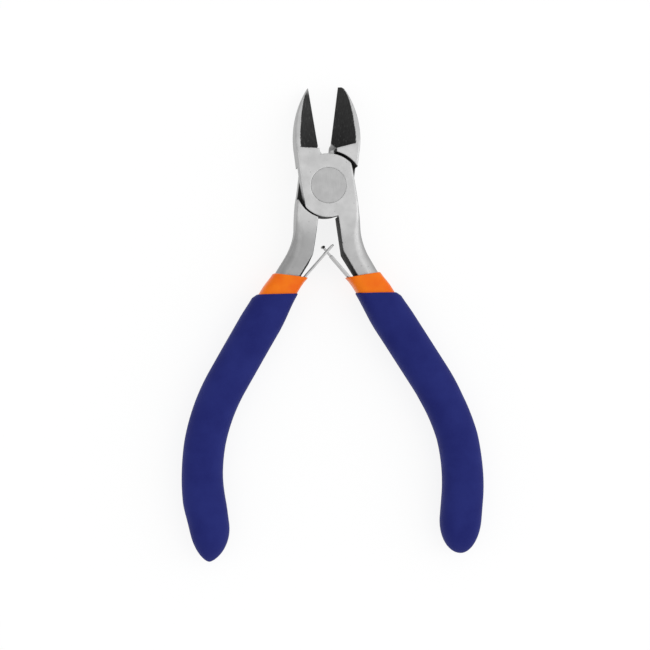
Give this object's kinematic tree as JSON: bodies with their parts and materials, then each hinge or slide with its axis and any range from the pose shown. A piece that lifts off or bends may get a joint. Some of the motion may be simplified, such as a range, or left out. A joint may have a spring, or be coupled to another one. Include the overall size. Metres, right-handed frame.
{
  "type": "diagonal cutting pliers",
  "caption": "Small lap-joint diagonal cutters with bevelled jaws, a flush pivot rivet, interlocking leaf return springs and dipped two-layer handle sleeves.",
  "frame": {"origin": "on the pivot axis, at the rear face of the joint, which is also the surface that the pliers rest on", "axes": "+Y from the pivot toward the jaws, +Z out of the front face of the joint, +X toward the handle of the front half"},
  "size_m": [0.0744, 0.1157, 0.0096],
  "materials": {
    "forged_steel": "satin, with dark ground bevels on the jaws",
    "rivet_steel": "satin, finely brushed",
    "spring_steel": "bright rolled strip",
    "orange_vinyl": "smooth glossy dip",
    "blue_vinyl": "matte soft dip with a fine grain"
  },
  "bodies": {
    "rear": {"rear_half": "forged_steel", "pivot_rivet": "rivet_steel", "left_collar": "orange_vinyl", "left_grip": "blue_vinyl", "left_spring_foot": "spring_steel", "left_spring_rivet": "rivet_steel"},
    "front": {"front_half": "forged_steel", "right_collar": "orange_vinyl", "right_grip": "blue_vinyl", "right_spring_foot": "spring_steel", "right_spring_rivet": "rivet_steel"},
    "left_leaf": {"left_spring_leaf": "spring_steel"},
    "right_leaf": {"right_spring_leaf": "spring_steel"}
  },
  "joints": [
    {"name": "pivot", "type": "hinge", "parent": "rear", "child": "front", "pos_m": [0, 0, 0.0048], "axis": [0, 0, -1], "range_deg": [0, 17], "stiffness_Nm_per_rad": 0.8, "springref_deg": -11.46},
    {"name": "left_leaf_flex", "type": "hinge", "parent": "rear", "child": "left_leaf", "pos_m": [-0.01107, -0.0286, 0.0048], "axis": [0, 0, 1], "range_deg": [0, 9.5]},
    {"name": "right_leaf_flex", "type": "hinge", "parent": "front", "child": "right_leaf", "pos_m": [0.01107, -0.0286, 0.0048], "axis": [0, 0, -1], "range_deg": [0, 9.5]}
  ],
  "couplings": [
    {"joint": "left_leaf_flex", "follows": "pivot", "ratio": 0.5329},
    {"joint": "right_leaf_flex", "follows": "pivot", "ratio": 0.5329}
  ]
}
